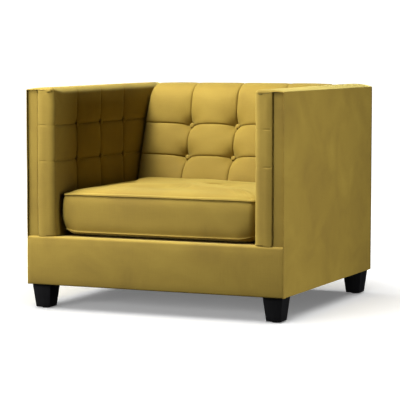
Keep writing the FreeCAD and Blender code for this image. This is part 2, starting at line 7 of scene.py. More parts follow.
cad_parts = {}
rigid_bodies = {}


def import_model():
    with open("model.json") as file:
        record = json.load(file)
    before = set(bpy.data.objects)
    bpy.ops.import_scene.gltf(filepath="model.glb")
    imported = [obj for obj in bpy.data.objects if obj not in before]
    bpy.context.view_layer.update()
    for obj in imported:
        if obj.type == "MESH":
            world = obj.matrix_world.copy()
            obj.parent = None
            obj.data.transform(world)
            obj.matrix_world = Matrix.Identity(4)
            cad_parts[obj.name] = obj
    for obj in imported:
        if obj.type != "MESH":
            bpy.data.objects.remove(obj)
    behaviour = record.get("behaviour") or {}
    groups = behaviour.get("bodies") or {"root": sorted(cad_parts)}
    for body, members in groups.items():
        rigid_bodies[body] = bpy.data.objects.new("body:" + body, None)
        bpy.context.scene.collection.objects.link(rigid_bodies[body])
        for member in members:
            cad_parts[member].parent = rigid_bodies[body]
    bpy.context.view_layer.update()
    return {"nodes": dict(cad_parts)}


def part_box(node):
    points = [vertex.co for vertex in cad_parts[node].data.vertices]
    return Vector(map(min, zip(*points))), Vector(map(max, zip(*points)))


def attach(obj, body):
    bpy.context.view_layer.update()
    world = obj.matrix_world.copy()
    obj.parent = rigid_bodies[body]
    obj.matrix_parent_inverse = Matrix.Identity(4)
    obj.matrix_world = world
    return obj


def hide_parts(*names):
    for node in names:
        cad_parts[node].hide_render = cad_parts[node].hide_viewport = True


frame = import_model()
print("frame loaded:", len(frame["nodes"]), "nodes")


# small helpers
def linear(hexText):
    # sRGB hex to linear RGBA
    parts = [int(hexText.lstrip("#")[i:i + 2], 16) / 255 for i in (0, 2, 4)]
    return tuple(c / 12.92 if c <= 0.04045 else ((c + 0.055) / 1.055) ** 2.4 for c in parts) + (1.0,)


def addNode(tree, kind, inputs=None, **settings):
    # one node with its settings; an input is a value or another node's output
    new = tree.nodes.new(kind)
    for name, value in settings.items():
        setattr(new, name, value)
    for name, value in (inputs or {}).items():
        if isinstance(value, bpy.types.NodeSocket):
            tree.links.new(value, new.inputs[name])
        else:
            new.inputs[name].default_value = value
    return new


def smooth(x):
    # 0 below 0, 1 above 1, eased between
    x = np.clip(x, 0, 1)
    return x * x * (3 - 2 * x)


def samples(low, high, step, seams=(), reach=(0.0, 0.0014, 0.003, 0.006, 0.010)):
    # even steps, with extra lines close to each seam
    fine = [s + side * r for s in seams for r in reach for side in (-1, 1)]
    count = max(2, int(round((high - low) / step)) + 1)
    clear = [v for v in np.linspace(low, high, count)
             if v in (low, high) or all(abs(v - s) > reach[-1] + step * 0.4 for s in seams)]
    return np.array(sorted({round(float(v), 6) for v in list(clear) + fine if low <= v <= high}))


def meshPiece(name, points, faces, material, body, replaces=(), angle=None):
    # a smooth-shaded piece that rides a body; edges sharper than angle stay crisp
    mesh = bpy.data.meshes.new(name)
    mesh.from_pydata([tuple(map(float, p)) for p in points], [],
                     [tuple(map(int, f)) for f in faces])
    mesh.validate()
    mesh.materials.append(material)
    piece = bpy.data.objects.new(name, mesh)
    bpy.context.collection.objects.link(piece)
    mesh.shade_smooth()
    if angle is not None:
        mesh.set_sharp_from_angle(angle=math.radians(angle))
    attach(piece, body)
    if replaces:
        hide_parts(*replaces)
    return piece


def loftFaces(ringCount, ringSize, closed=True):
    # quads between neighbouring rings of points
    faces = []
    for i in range(ringCount - 1):
        for j in range(ringSize if closed else ringSize - 1):
            k = (j + 1) % ringSize
            a, b = i * ringSize, (i + 1) * ringSize
            faces.append((a + j, a + k, b + k, b + j))
    return faces


def flipped(faces):
    return [tuple(reversed(f)) for f in faces]


# camera
view = dict(azimuth=24.01, elevation=4.75, distance=6.449, lens=163.0,
            sensor=36, clipEnd=60, target=(0.001, -0.044, 0.364))


def makeCamera():
    az, el = math.radians(view["azimuth"]), math.radians(view["elevation"])
    away = Vector((math.sin(az) * math.cos(el), -math.cos(az) * math.cos(el), math.sin(el)))
    data = bpy.data.cameras.new("camera")
    data.lens = view["lens"]
    data.sensor_width = view["sensor"]
    data.clip_end = view["clipEnd"]
    camera = bpy.data.objects.new("camera", data)
    camera.location = Vector(view["target"]) + away * view["distance"]
    camera.rotation_euler = (-away).to_track_quat("-Z", "Y").to_euler()
    bpy.context.collection.objects.link(camera)
    bpy.context.scene.camera = camera


makeCamera()
print("camera placed")

# materials
# Upholstery velvet: dense cut pile on a woven back. Light catches the pile tips at a slant, the
# pile leans in soft patches, and it looks deep and brown where it is turned from the light.
velvetLook = dict(pile="#8C7734", deep="#846F31", lift="#947F39", tips="#FFF4A0",
                  sheen=0.40, sheenRoughness=0.42, roughness=0.78, specular=0.22,
                  patchMm=190, slubMm=3.2, slubStretch=14, slubTone=0.12, slubHeight=0.0004,
                  pileMm=1.3, pileTone=0.16, pileHeight=0.00022, stops=(0.30, 0.50, 0.72))


def makeVelvet(name):
    material = bpy.data.materials.new(name)
    material.use_nodes = True
    tree = material.node_tree
    shader = tree.nodes["Principled BSDF"]
    where = addNode(tree, "ShaderNodeTexCoord").outputs["Object"]
    patch = addNode(tree, "ShaderNodeTexNoise", {"Vector": where, "Scale": 1000 / velvetLook["patchMm"],
                                                 "Detail": 3.0, "Roughness": 0.55, "Distortion": 0.6})
    # slubs: stretched threads of the backing, across and upright
    slubs = []
    long = velvetLook["slubStretch"]
    for stretch in ((1, 1, long), (long, long, 1)):
        turned = addNode(tree, "ShaderNodeMapping", {"Vector": where, "Scale": stretch})
        slubs.append(addNode(tree, "ShaderNodeTexNoise", {"Vector": turned.outputs[0],
                                                          "Scale": 1000 / velvetLook["slubMm"] / long,
                                                          "Detail": 2.0}))
    # pile drawn at 1.3 mm, coarser than the real 0.3 mm, so that it shows
    pile = addNode(tree, "ShaderNodeTexNoise", {"Vector": where, "Scale": 1000 / velvetLook["pileMm"],
                                                "Detail": 2.0, "Roughness": 0.6})
    sumSlub = addNode(tree, "ShaderNodeMath", {0: slubs[0].outputs["Fac"], 1: slubs[1].outputs["Fac"]},
                      operation="ADD")
    slubTone, pileTone = velvetLook["slubTone"], velvetLook["pileTone"]
    slubPart = addNode(tree, "ShaderNodeMath", {0: sumSlub.outputs[0], 1: slubTone, 2: -slubTone},
                       operation="MULTIPLY_ADD")
    pilePart = addNode(tree, "ShaderNodeMath", {0: pile.outputs["Fac"], 1: pileTone, 2: -pileTone / 2},
                       operation="MULTIPLY_ADD")
    grain = addNode(tree, "ShaderNodeMath", {0: slubPart.outputs[0], 1: pilePart.outputs[0]},
                    operation="ADD")
    tone = addNode(tree, "ShaderNodeMath", {0: patch.outputs["Fac"], 1: grain.outputs[0]},
                   operation="ADD")
    ramp = addNode(tree, "ShaderNodeValToRGB", {"Fac": tone.outputs[0]})
    stops = ramp.color_ramp.elements
    low, middle, high = velvetLook["stops"]
    stops[0].position, stops[1].position = low, high
    stops.new(middle)
    for stop, shade in zip(stops, ("deep", "pile", "lift")):
        stop.color = linear(velvetLook[shade])
    tree.links.new(ramp.outputs["Color"], shader.inputs["Base Color"])
    fibres = addNode(tree, "ShaderNodeBump", {"Height": pile.outputs["Fac"], "Strength": 0.5,
                                              "Distance": velvetLook["pileHeight"]})
    weave = addNode(tree, "ShaderNodeBump", {"Height": sumSlub.outputs[0], "Strength": 0.35,
                                             "Distance": velvetLook["slubHeight"],
                                             "Normal": fibres.outputs[0]})
    tree.links.new(weave.outputs[0], shader.inputs["Normal"])
    shader.inputs["Roughness"].default_value = velvetLook["roughness"]
    shader.inputs["Specular IOR Level"].default_value = velvetLook["specular"]
    shader.inputs["Sheen Weight"].default_value = velvetLook["sheen"]
    shader.inputs["Sheen Roughness"].default_value = velvetLook["sheenRoughness"]
    shader.inputs["Sheen Tint"].default_value = linear(velvetLook["tips"])
    return material


def simpleMaterial(name, colours, grainMm, stretch=(1, 1, 1), roughness=(0.4, 0.6), bumpMm=0.1,
                   **shaderValues):
    # two colours mixed by one stretched grain, which also sets the roughness and a fine relief
    material = bpy.data.materials.new(name)
    material.use_nodes = True
    tree = material.node_tree
    shader = tree.nodes["Principled BSDF"]
    where = addNode(tree, "ShaderNodeTexCoord").outputs["Object"]
    turned = addNode(tree, "ShaderNodeMapping", {"Vector": where, "Scale": stretch})
    grain = addNode(tree, "ShaderNodeTexNoise", {"Vector": turned.outputs[0], "Scale": 1000 / grainMm,
                                                 "Detail": 4.0})
    ramp = addNode(tree, "ShaderNodeValToRGB", {"Fac": grain.outputs["Fac"]})
    for stop, text, at in zip(ramp.color_ramp.elements, colours, (0.35, 0.68)):
        stop.color = linear(text)
        stop.position = at
    rough = addNode(tree, "ShaderNodeMapRange", {"Value": grain.outputs["Fac"],
                                                 "To Min": roughness[0], "To Max": roughness[1]})
    relief = addNode(tree, "ShaderNodeBump", {"Height": grain.outputs["Fac"], "Strength": 0.6,
                                              "Distance": bumpMm / 1000})
    tree.links.new(ramp.outputs["Color"], shader.inputs["Base Color"])
    tree.links.new(rough.outputs[0], shader.inputs["Roughness"])
    tree.links.new(relief.outputs[0], shader.inputs["Normal"])
    for key, value in shaderValues.items():
        shader.inputs[key.replace("_", " ")].default_value = value
    return material


velvet = makeVelvet("mustardVelvet")
# beech legs under sprayed lacquer: near black, a soft sheen along the faces
lacqueredBeech = simpleMaterial("blackLacqueredBeech", ("#111113", "#19191B"), 5, (1, 1, 0.08),
                                (0.34, 0.44), 0.05)
# planed pine frame: pale, long grain, dry
planedPine = simpleMaterial("planedPine", ("#B98F5B", "#D9B982"), 7, (1, 0.12, 1), (0.55, 0.7), 0.15)
# pressed wood fibre: dark brown, fine and even
hardboard = simpleMaterial("oilTemperedHardboard", ("#4E3420", "#6B4A2F"), 1.5, (1, 1, 1),
                           (0.5, 0.65), 0.08)
# turned beech: light and close-grained
beechDowel = simpleMaterial("beechDowel", ("#B98F63", "#CBA57A"), 2, (1, 1, 0.1), (0.55, 0.7), 0.05)
# woven jute: coarse, dull brown threads
juteWebbing = simpleMaterial("juteWebbing", ("#6E5534", "#A98A5C"), 3, (0.2, 1, 1), (0.8, 0.95), 0.5)
# twisted flax with wax: pale, a slight lustre
waxedTwine = simpleMaterial("waxedTwine", ("#B8AC8C", "#D8CFB4"), 1, (1, 1, 1), (0.6, 0.75), 0.2)
# drawn wire with a film of oil: dark grey and smooth
springSteel = simpleMaterial("oiledSpringSteel", ("#55565A", "#7A7C80"), 12, (1, 1, 1), (0.3, 0.5),
                             0.02, Metallic=1.0)
# bright zinc plating: light grey, soft reflections
zincSteel = simpleMaterial("zincPlatedSteel", ("#A8ABB0", "#C8CBD0"), 6, (1, 1, 1), (0.25, 0.42),
                           0.02, Metallic=1.0)
# moulded polyethylene: black, waxy and dull
glidePlastic = simpleMaterial("mouldedPolyethylene", ("#141414", "#1F1F1F"), 1, (1, 1, 1),
                              (0.5, 0.65), 0.03)
# spunbonded polypropylene: black, felty
dustCloth = simpleMaterial("spunbondDustCloth", ("#0D0D0E", "#1C1C1E"), 1.2, (1, 1, 1),
                           (0.85, 0.95), 0.15)
# plain cotton under the cushion: flat mustard, no pile
deckCloth = simpleMaterial("deckLiningCotton", ("#7A6128", "#8E7332"), 1, (1, 1, 1), (0.8, 0.92), 0.12)
# woven polyester tape: ribbed across its length
zipTapeCloth = simpleMaterial("wovenZipTape", ("#8C7029", "#A5873A"), 0.8, (6, 1, 1), (0.7, 0.85), 0.1)
# die-cast and tumbled brass: dull gold with darker hollows
zipBrass = simpleMaterial("antiqueBrass", ("#7D6A3E", "#A08A55"), 3, (1, 1, 1), (0.25, 0.45), 0.03,
                          Metallic=1.0)
print("materials made")

# sizes read from the frame
armLow, armHigh = (Vector(c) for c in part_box("arm_cover_right"))
backLow, backHigh = (Vector(c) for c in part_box("back_inner_cover"))
railLow, railHigh = (Vector(c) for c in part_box("front_rail_cover"))
sideLow, sideHigh = (Vector(c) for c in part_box("side_cover_right"))
rearLow, rearHigh = (Vector(c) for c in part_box("back_cover"))
boardLow, boardHigh = (Vector(c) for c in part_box("arm_inner_board_right"))
weltZ, deckZ = sideHigh[2], railHigh[2]

# tufting
tuft = dict(armRows=(0.122, 0.246), backRows=(0.135, 0.252), columns=3, buttonRadius=0.0095,
            pinch=0.0034, pinchWidth=0.0015, puff=0.004,
            gather=0.0007, gatherAt=0.020, gatherWidth=0.011)
armTuft = dict(buttonDepth=0.0090, seamDepth=0.0055, seamSpread=0.010, buttonSpread=0.016)
backTuft = dict(buttonDepth=0.0400, seamDepth=0.0058, seamSpread=0.008, buttonSpread=0.027)
armPitch = (backLow[1] - sideLow[1]) / (tuft["columns"] + 0.5)
backPitch = 2 * armLow[0] / (tuft["columns"] + 1)
armColumns = [sideLow[1] + armPitch * (c + 1) for c in range(tuft["columns"])]
backColumns = [backPitch * (c - (tuft["columns"] - 1) / 2) for c in range(tuft["columns"])]
armRowZ = [weltZ - r for r in tuft["armRows"]]
backRowZ = [weltZ - r for r in tuft["backRows"]]


def tuftDepth(s, t, seamS, seamT, look, fadeS=1.0, fadeT=1.0, seed=0.0):
    # how far the cloth lies under the pad's crest at (s, t): seams, pinched stitch lines, buttons
    a = np.min([np.abs(s - v) for v in seamS], axis=0)
    b = np.min([np.abs(t - v) for v in seamT], axis=0)
    va = np.exp(-a / look["seamSpread"]) * fadeS
    vb = np.exp(-b / look["seamSpread"]) * fadeT
    valley = (va ** 3 + vb ** 3) ** (1 / 3)
    depth = look["seamDepth"] * valley
    pinch = np.maximum(np.exp(-(a / tuft["pinchWidth"]) ** 2) * fadeS,
                       np.exp(-(b / tuft["pinchWidth"]) ** 2) * fadeT)
    depth = depth + tuft["pinch"] * pinch
    for i, vs in enumerate(seamS):
        for j, vt in enumerate(seamT):
            r = np.hypot(s - vs, t - vt)
            angle = np.arctan2(t - vt, s - vs)
            well = np.exp(-np.maximum(0, r - tuft["buttonRadius"]) / look["buttonSpread"])
            # soft gathers that run out from under the button
            folds = np.cos(7 * angle + 2.1 * i + 1.3 * j + seed) + 0.6 * np.cos(11 * angle + seed + j)
            ringed = np.exp(-((r - tuft["gatherAt"]) / tuft["gatherWidth"]) ** 2)
            gather = tuft["gather"] * folds * ringed
            depth = depth + (look["buttonDepth"] - look["seamDepth"]) * well + gather
    return depth


# cloth over the stuffing
swell = dict(frames=16, pressure=5.0, quality=4, mass=0.25, tension=6.0, bending=0.8)


def inflate(piece, sewn, cap):
    # the cover swells under pressure but stays put where sewn is 1; no point moves past cap
    group = piece.vertex_groups.new(name="sewn")
    for level in np.unique(np.round(sewn, 2)):
        if level > 0:
            group.add(np.flatnonzero(np.round(sewn, 2) == level).tolist(), float(level), "REPLACE")
    cloth = piece.modifiers.new("cloth", "CLOTH")
    cloth.settings.quality = swell["quality"]
    cloth.settings.mass = swell["mass"]
    cloth.settings.tension_stiffness = swell["tension"]
    cloth.settings.compression_stiffness = swell["tension"]
    cloth.settings.bending_stiffness = swell["bending"]
    cloth.settings.use_pressure = True
    cloth.settings.uniform_pressure_force = swell["pressure"]
    cloth.settings.vertex_group_mass = "sewn"
    cloth.settings.effector_weights.gravity = 0
    cloth.collision_settings.use_collision = False
    cloth.point_cache.frame_end = swell["frames"]
    rest = np.array([v.co[:] for v in piece.data.vertices])
    for frameNumber in range(1, swell["frames"] + 1):
        bpy.context.scene.frame_set(frameNumber)
    shaped = piece.evaluated_get(bpy.context.evaluated_depsgraph_get())
    moved = np.array([v.co[:] for v in shaped.data.vertices]) - rest
    length = np.linalg.norm(moved, axis=1, keepdims=True)
    moved *= np.minimum(1, cap / np.maximum(length, 1e-9))
    piece.modifiers.remove(cloth)
    piece.vertex_groups.clear()
    piece.data.vertices.foreach_set("co", (rest + moved).ravel())
    piece.data.update()
    bpy.context.scene.frame_set(1)
    print("  %s swelled, %.1f mm at most" % (piece.name, 1000 * np.linalg.norm(moved, axis=1).max()))


# arm pads
armPad = dict(inner=armLow[0], outer=sideHigh[0] - 0.0015, back=boardLow[0], bottom=deckZ,
              crown=armHigh[2] - 0.002, rise=0.004, lap=weltZ - 0.0005,
              front=armLow[1], rear=boardHigh[1], topRear=rearHigh[1] - 0.002,
              rollFront=0.014, roll=0.026, rollRun=0.075, cornerRound=0.030, cornerDepth=0.012,
              topRound=0.010, outerRound=0.004, fadeLow=0.715, fadeHigh=0.768, step=0.0055,
              pleat=0.0065, pleatWidth=0.0045, frontDome=0.0012)


def armSection(y, tops):
    # right arm: points (x, z), outward normals, and the front rounding across and in depth,
    # up the inner side and over the top
    p = armPad
    run = smooth((y - p["front"]) / p["rollRun"])
    roll = p["rollFront"] + (p["roll"] - p["rollFront"]) * run
    straight = p["roll"] - roll
    arc = roll * math.pi / 2
    flat = p["outer"] - p["inner"] - roll
    zFlat = p["crown"] + p["rise"] * float(smooth((y - p["front"]) / (p["rear"] - p["front"])))
    drop = zFlat - weltZ - 0.001
    total = straight + arc + flat
    rows = []
    for f in tops:
        u = f * total
        if u < straight:
            rows.append((p["inner"], zFlat - p["roll"] + u, -1.0, 0.0, p["cornerRound"],
                         p["cornerDepth"]))
        elif u < straight + arc:
            phi = (u - straight) / roll
            rounding = p["cornerRound"] + (p["topRound"] - p["cornerRound"]) * math.sin(phi)
            inDepth = p["cornerDepth"] + (p["topRound"] - p["cornerDepth"]) * math.sin(phi)
            rows.append((p["inner"] + roll * (1 - math.cos(phi)), zFlat - roll + roll * math.sin(phi),
                         -math.cos(phi), math.sin(phi), rounding, inDepth))
        else:
            v = (u - straight - arc) / flat
            z = zFlat - drop * v ** 3
            # past the pad the top is only a thin lap over the strip and the side
            x = p["inner"] + roll + v * flat
            rounding = p["topRound"] if x < p["back"] else 0.8 * (z - p["lap"])
            rows.append((x, z, 0.0, 1.0, rounding, p["topRound"]))
    return rows


def makeArmPad(side, name):
    p = armPad
    zLow = samples(p["bottom"], p["crown"] - p["roll"], p["step"], armRowZ)
    tops = np.linspace(0, 1, 34)[1:]
    ys = samples(p["front"] + p["cornerDepth"], p["rear"], p["step"], armColumns)
    gammas = np.linspace(0, math.pi / 2, 8)[:-1]
    stations = [(p["front"], g) for g in gammas] + [(y, None) for y in ys]
    stations += [(p["rear"] + 0.001, "cut"), (p["topRear"], "cut")]
    edge = p["outerRound"]
    lapRows = [(p["outer"], p["lap"], 0.0, 0.0, edge, p["topRound"]),
               (p["back"], p["lap"], 1.0, 0.0, edge, edge)]
    rings = []
    for y, mode in stations:
        if mode is None or mode == "cut":
            yRoll = y
        else:
            yRoll = p["front"] + p["cornerDepth"] * (1 - math.cos(mode))
        rows = [(p["inner"], z, -1.0, 0.0, p["cornerRound"], p["cornerDepth"]) for z in zLow]
        rows += armSection(yRoll, tops) + lapRows
        rows += [(p["back"], z, 1.0, 0.0, edge, edge) for z in reversed(zLow)]
        ring = []
        for x, z, nx, nz, m, depthM in rows:
            if mode is None:
                ring.append((x, y, z, nx, nz))
            elif mode == "cut":
                ring.append((x, y, max(z, p["lap"] - 0.006), nx, nz))
            else:
                inset = m * (1 - math.sin(mode))
                ring.append((x - nx * inset, p["front"] + depthM * (1 - math.cos(mode)),
                             z - nz * inset, nx, nz))
        rings.append(ring)
    size = len(rings[0])
    data = np.array(rings)
    pts, nx, nz = data[:, :, :3].copy(), data[:, :, 3], data[:, :, 4]
    visible = np.zeros(size)
    visible[:len(zLow) + len(tops)] = 1
    s, t = pts[:, :, 1], pts[:, :, 2]
    fadeTop = 1 - smooth((t - p["fadeLow"]) / (p["fadeHigh"] - p["fadeLow"]))
    frontness = smooth((s - p["front"]) / 0.03)
    depth = tuftDepth(s, t, armColumns, armRowZ, armTuft, fadeTop, 1.0, seed=side)
    # the front corner is only nipped by the row seams
    rowOnly = np.min([np.abs(t - v) for v in armRowZ], axis=0)
    nip = 0.0004 * np.exp(-rowOnly / 0.008) + 0.0008 * np.exp(-(rowOnly / tuft["pinchWidth"]) ** 2)
    depth = depth * frontness + nip * (1 - frontness)
    # a pleat where the small front rounding meets the deep roll of the arm
    inside = s - p["front"]
    off = (t - (p["crown"] - 0.012) + 0.75 * inside) * 0.8
    pleat = p["pleat"] * np.exp(-np.abs(off) / p["pleatWidth"])
    depth = depth + pleat * smooth((inside - 0.012) / 0.012) * (1 - smooth((inside - 0.02) / 0.045))
    depth = depth - tuft["puff"] * 0.5 * np.exp(-((t - 0.70) / 0.05) ** 2) * frontness
    depth = depth * visible[None, :]
    pts[:, :, 0] -= nx * depth
    pts[:, :, 2] -= nz * depth
    faces = loftFaces(len(rings), size)
    points = pts.reshape(-1, 3).tolist()
    # front face: rows from the inner edge to the outer edge, softly domed, nipped at the seams
    rowCount = len(zLow)
    columns = 9
    grid = [[None] * (columns + 1) for _ in range(rowCount)]
    for j in range(rowCount):
        inner, outer = pts[0, j], pts[0, size - 1 - j]
        grid[j][0], grid[j][columns] = j, size - 1 - j
        for c in range(1, columns):
            f = c / columns
            place = inner * (1 - f) + outer * f
            gap = min(abs(place[2] - v) for v in armRowZ)
            dome = p["frontDome"] * math.sin(math.pi * f)
            groove = 0.0003 * math.exp(-gap / 0.006) + 0.0010 * math.exp(-(gap / 0.0013) ** 2)
            grid[j][c] = len(points)
            points.append((place[0], place[1] - dome + groove, place[2]))
    for j in range(rowCount - 1):
        for c in range(columns):
            faces.append((grid[j][c], grid[j][c + 1], grid[j + 1][c + 1], grid[j + 1][c]))
    faces.append(grid[rowCount - 1]
                 + [size - rowCount - i for i in range(1, size - 2 * rowCount + 1)])
    faces.append([(len(rings) - 1) * size + j for j in range(size)])
    if side < 0:
        points = [(-x, y, z) for x, y, z in points]
        faces = flipped(faces)
    label = "right" if side > 0 else "left"
    piece = meshPiece(name, points, faces, velvet, "chair",
                      ("arm_cover_" + label, "arm_foam_" + label, "arm_top_foam_" + label))


makeArmPad(1, "armPadRight")
makeArmPad(-1, "armPadLeft")
print("arm pads made")

# inside back
backPad = dict(foot=backLow[1], half=armLow[0] - 0.0060, bottom=deckZ, crown=backHigh[2] - 0.001,
               rear=rearHigh[1] - 0.0015, rake=19.0, rakeStart=0.162, roll=0.075,
               endRound=0.010, endTop=0.026, step=0.0055, swellCap=0.006, heldRadius=0.042,
               supportTop=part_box("back_top_rail")[0][1] - 0.003, supportFoot=backLow[1] + 0.08)


def backLine(lengths=None):
    # length along the inside back, from the deck up over the crown to the rear edge
    p = backPad
    rake = math.radians(p["rake"])
    zKnee = p["bottom"] + p["rakeStart"]
    turn = math.pi / 2 - rake
    tangent = p["roll"] * math.tan(turn / 2)
    yPeak = p["foot"] + (p["crown"] - zKnee) * math.tan(rake)
    slant = (p["crown"] - zKnee) / math.cos(rake) - tangent
    upright, arc = p["rakeStart"], p["roll"] * turn
    yArcEnd = yPeak + tangent
    flat = p["rear"] - yArcEnd
    total = upright + slant + arc + flat
    if lengths is None:
        return total, upright, slant, arc
    rows = []
    for u in lengths:
        if u < upright:
            rows.append((p["foot"], p["bottom"] + u, -1.0, 0.0))
        elif u < upright + slant:
            v = u - upright
            rows.append((p["foot"] + v * math.sin(rake), zKnee + v * math.cos(rake),
                         -math.cos(rake), math.sin(rake)))
        elif u < upright + slant + arc:
            phi = rake + (u - upright - slant) / p["roll"]
            rows.append((yArcEnd - p["roll"] * math.cos(phi),
                         p["crown"] - p["roll"] + p["roll"] * math.sin(phi),
                         -math.cos(phi), math.sin(phi)))
        else:
            v = (u - upright - slant - arc) / flat
            rows.append((yArcEnd + v * flat, p["crown"] - v * (p["crown"] - weltZ - 0.001), 0.0, 1.0))
    return rows


def makeBackPad():
    p = backPad
    total, upright, slant, arc = backLine()
    rake = math.radians(p["rake"])
    seamT = [upright + (z - p["bottom"] - p["rakeStart"]) / math.cos(rake) for z in backRowZ]
    lengths = samples(0, total, p["step"], seamT)
    xs = samples(-p["half"] + p["endTop"], p["half"] - p["endTop"], p["step"], backColumns)
    gammas = np.linspace(0, math.pi / 2, 9)[:-1]
    stations = [(-1, g) for g in gammas] + [(x, None) for x in xs] + [(1, g) for g in reversed(gammas)]
    hidden = [(p["rear"], weltZ - 0.012, 0.0, 0.0), (p["supportTop"], weltZ - 0.012, 0.0, 0.0),
              (p["supportFoot"], p["bottom"] + 0.001, 0.0, 0.0)]
    rows = np.array(backLine(lengths) + hidden)
    rise = smooth((rows[:, 1] - 0.66) / 0.09)
    m = p["endRound"] + (p["endTop"] - p["endRound"]) * rise
    m[-len(hidden):] = 0.004
    rings = []
    for x, mode in stations:
        if mode is None:
            ring = [(x, r[0], r[1]) for r in rows]
        else:
            inset = m * (1 - math.sin(mode))
            edge = p["half"] - m * (1 - math.cos(mode))
            ring = [(x * e, r[0] - r[2] * i, r[1] - r[3] * i) for e, r, i in zip(edge, rows, inset)]
        rings.append(ring)
    pts = np.array(rings)
    s = pts[:, :, 0]
    t = np.broadcast_to(np.append(lengths, [9.0] * len(hidden)), s.shape)
    overTop = 1 - 0.75 * smooth((t - upright - slant) / arc)
    depth = tuftDepth(s, t, backColumns, seamT, backTuft, overTop, 1.0, seed=0.7)
    endFade = smooth((p["half"] - np.abs(s)) / 0.012)
    cellPuff = tuft["puff"] * np.exp(-((t - (upright + slant)) / 0.07) ** 2)
    depth = (depth - cellPuff) * (0.35 + 0.65 * endFade)
    depth[:, -len(hidden):] = 0
    pts[:, :, 1] -= rows[None, :, 2] * depth
    pts[:, :, 2] -= rows[None, :, 3] * depth
    size = pts.shape[1]
    faces = loftFaces(len(rings), size)
    faces.append(list(range(size)))
    faces.append([(len(rings) - 1) * size + j for j in reversed(range(size))])
    piece = meshPiece("backPad", pts.reshape(-1, 3).tolist(), flipped(faces), velvet, "chair",
                      ("back_inner_cover", "back_foam", "back_top_foam"))
    a = np.min([np.abs(s - v) for v in backColumns], axis=0)
    b = np.min([np.abs(t - v) for v in seamT], axis=0)
    held = np.maximum(np.exp(-(b / 0.004) ** 2), np.exp(-(a / 0.004) ** 2) * overTop)
    held = np.maximum(held, np.exp(-(np.hypot(a, b) / p["heldRadius"]) ** 4))
    # behind the cushion the cover lies flat
    held = np.maximum(held, 1 - smooth((t - 0.11) / 0.05))
    held[np.abs(s) > p["half"] - 0.012] = 1
    held[:, -len(hidden):] = 1
    held[:, :3] = 1
    inflate(piece, held.ravel(), p["swellCap"])


makeBackPad()
print("inside back made")

# covered buttons
button = dict(radius=0.0095, height=0.0068, rings=9, spokes=32, seating=0.0012,
              armProud=0.0025, gather=0.018)


def buttonMesh(at, inward, seed, points, faces):
    # a domed disc with the cloth's small gathers at its rim
    turn = inward.to_track_quat("Z", "Y")
    start = len(points)
    for i in range(button["rings"] + 1):
        phi = 0.06 + i / button["rings"] * math.pi * 0.56
        radius = button["radius"] * math.sin(phi)
        z = -button["height"] * (0.32 + 0.68 * math.cos(phi))
        for j in range(button["spokes"]):
            angle = 2 * math.pi * j / button["spokes"]
            wide = radius * (1 + button["gather"] * math.sin(phi) ** 3 * math.cos(angle * 9 + seed))
            local = Vector((wide * math.cos(angle), wide * math.sin(angle), z))
            points.append(at + turn @ local)
    faces += [tuple(start + k for k in f) for f in loftFaces(button["rings"] + 1, button["spokes"])]
    faces.append([start + j for j in reversed(range(button["spokes"]))])
    faces.append([start + button["rings"] * button["spokes"] + j for j in range(button["spokes"])])


def makeButtons():
    places = [(y, z) for y in armColumns for z in armRowZ]
    sunk = armTuft["buttonDepth"] - button["seating"] - button["armProud"]
    for side, name in ((1, "right"), (-1, "left")):
        points, faces = [], []
        for i, (y, z) in enumerate(places):
            way = Vector((side, 0, 0))
            buttonMesh(Vector((side * armLow[0], y, z)) + way * sunk, way, i, points, faces)
        meshPiece("armButtons" + name.capitalize(), points, faces, velvet, "chair",
                  ("arm_buttons_" + name,))
    rake = math.radians(backPad["rake"])
    zKnee = backPad["bottom"] + backPad["rakeStart"]
    way = Vector((0, math.cos(rake), -math.sin(rake)))
    sunk = backTuft["buttonDepth"] - button["seating"]
    points, faces = [], []
    for i, z in enumerate(backRowZ):
        for j, x in enumerate(backColumns):
            at = Vector((x, backPad["foot"] + (z - zKnee) * math.tan(rake), z))
            buttonMesh(at + way * sunk, way, i + 2 * j, points, faces)
    meshPiece("backButtons", points, faces, velvet, "chair", ("back_buttons",))


makeButtons()
print("buttons made")

# flat padded panels
panelLook = dict(round=0.006, puff=0.0022, step=0.014, wave=0.0012, domeRun=0.05)


